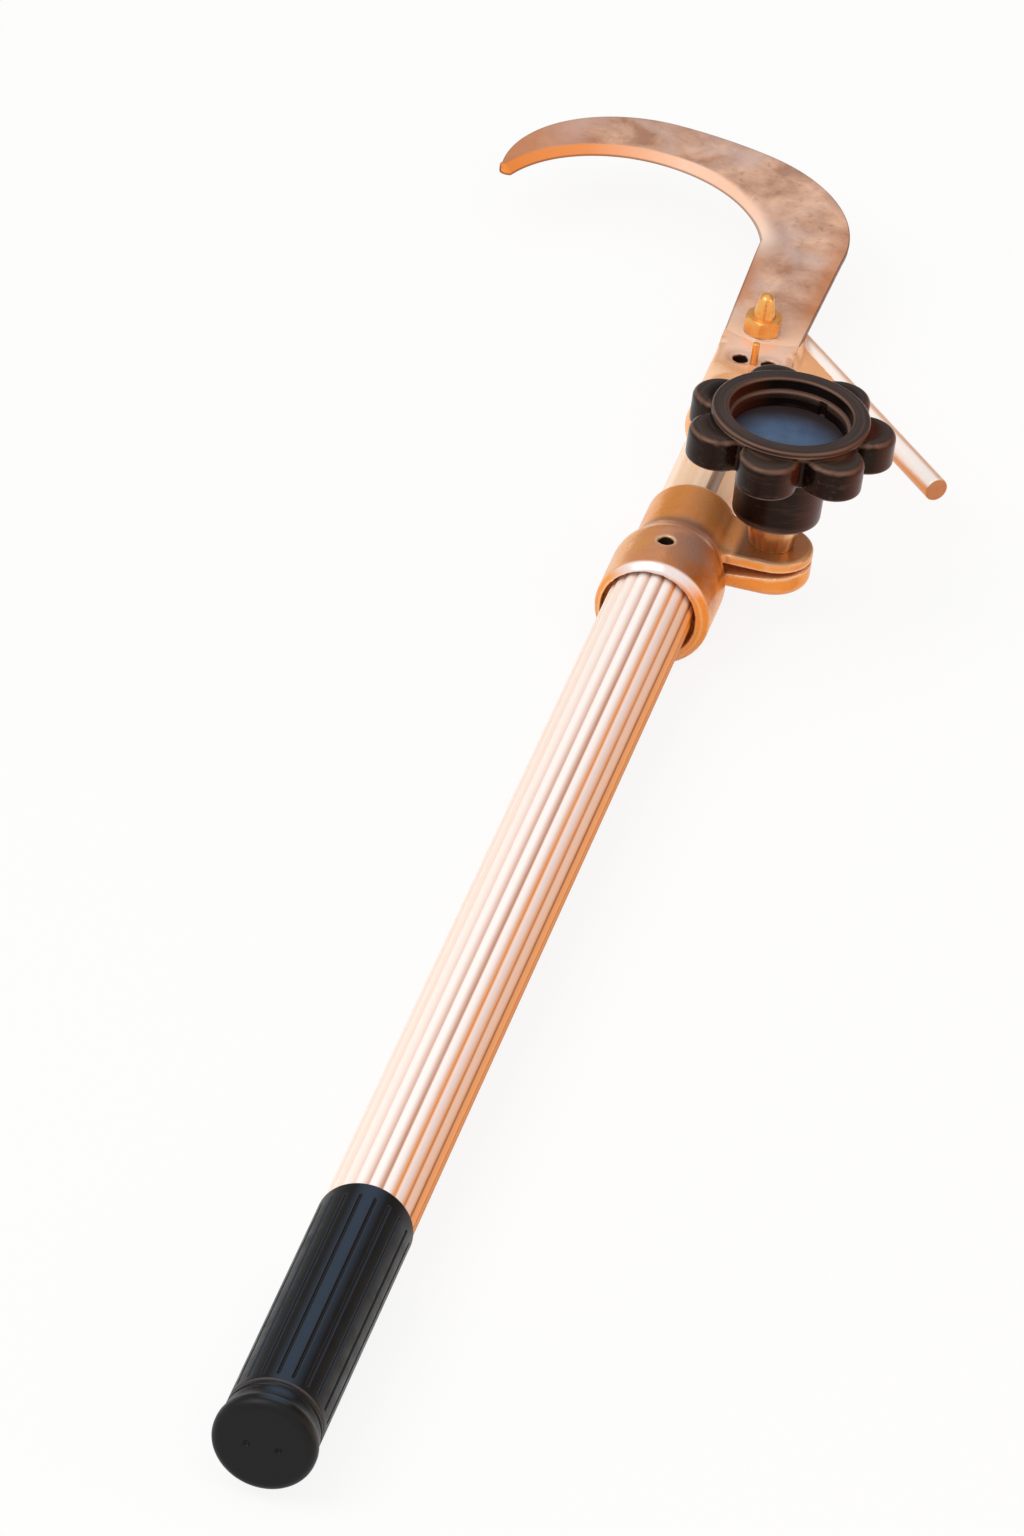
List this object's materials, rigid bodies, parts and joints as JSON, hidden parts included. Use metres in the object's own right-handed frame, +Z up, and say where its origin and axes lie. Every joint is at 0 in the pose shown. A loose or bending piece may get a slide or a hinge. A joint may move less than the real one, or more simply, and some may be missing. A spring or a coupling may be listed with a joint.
{
  "type": "telescopic fruit picker",
  "caption": "Telescopic picking pole: ribbed tube with grip, clamp collar with star knob, and an inner tube carrying a hooked sickle blade and a back-pointing spur.",
  "frame": {"origin": "centre of the butt cap's outer face, on the pole axis", "axes": "+X along the pole towards the hook, +Y to the side the hook opens to, +Z up along the clamp screw"},
  "size_m": [0.809, 0.1921, 0.0798],
  "materials": {
    "ribbed_aluminium": "satin drawn",
    "smooth_aluminium": "satin drawn",
    "black_rubber": "satin",
    "cast_bronze_alloy": "sand-cast bronze, brushed over",
    "dark_steel": "blackened",
    "plated_steel": "plated",
    "turned_steel": "turned",
    "bright_steel": "bright plated",
    "black_phenolic": "moulded",
    "brass": "bright",
    "brass_plated_steel": "brass plated",
    "blue_plastic": "moulded",
    "guide_plastic": "moulded",
    "blade_steel": "forged, mottled",
    "spur_steel": "polished"
  },
  "bodies": {
    "outer": {"outer_tube": "ribbed_aluminium", "butt_cap": "black_rubber", "grip_sleeve": "black_rubber", "clamp_collar": "cast_bronze_alloy", "collar_grub_screw": "dark_steel", "clamp_bolt": "plated_steel"},
    "inner": {"inner_tube": "smooth_aluminium", "slide_plug": "guide_plastic", "plug_pin": "plated_steel", "head_socket": "cast_bronze_alloy", "socket_rivets": "plated_steel", "hook_blade": "blade_steel", "blade_bolt": "brass_plated_steel", "blade_nut": "brass", "blade_washer": "bright_steel", "locating_peg": "brass", "spur_rod": "spur_steel", "spur_pin": "plated_steel"},
    "bush": {"thrust_bush": "turned_steel"},
    "knob": {"knob_body": "black_phenolic", "knob_insert": "brass", "knob_disc": "blue_plastic"}
  },
  "joints": [
    {"name": "telescope", "type": "slide", "parent": "outer", "child": "inner", "axis": [1, 0, 0], "range_m": [-0.06, 0.3]},
    {"name": "bush_lift", "type": "slide", "parent": "outer", "child": "bush", "axis": [0, 0, 1], "range_m": [0, 0.0025]},
    {"name": "knob_turn", "type": "hinge", "parent": "bush", "child": "knob", "pos_m": [0.551, -0.0304, 0.02], "axis": [0, 0, 1], "range_deg": [0, 720.5]}
  ],
  "couplings": [
    {"joint": "knob_turn", "follows": "bush_lift", "rad_per_m": 5026.5}
  ]
}
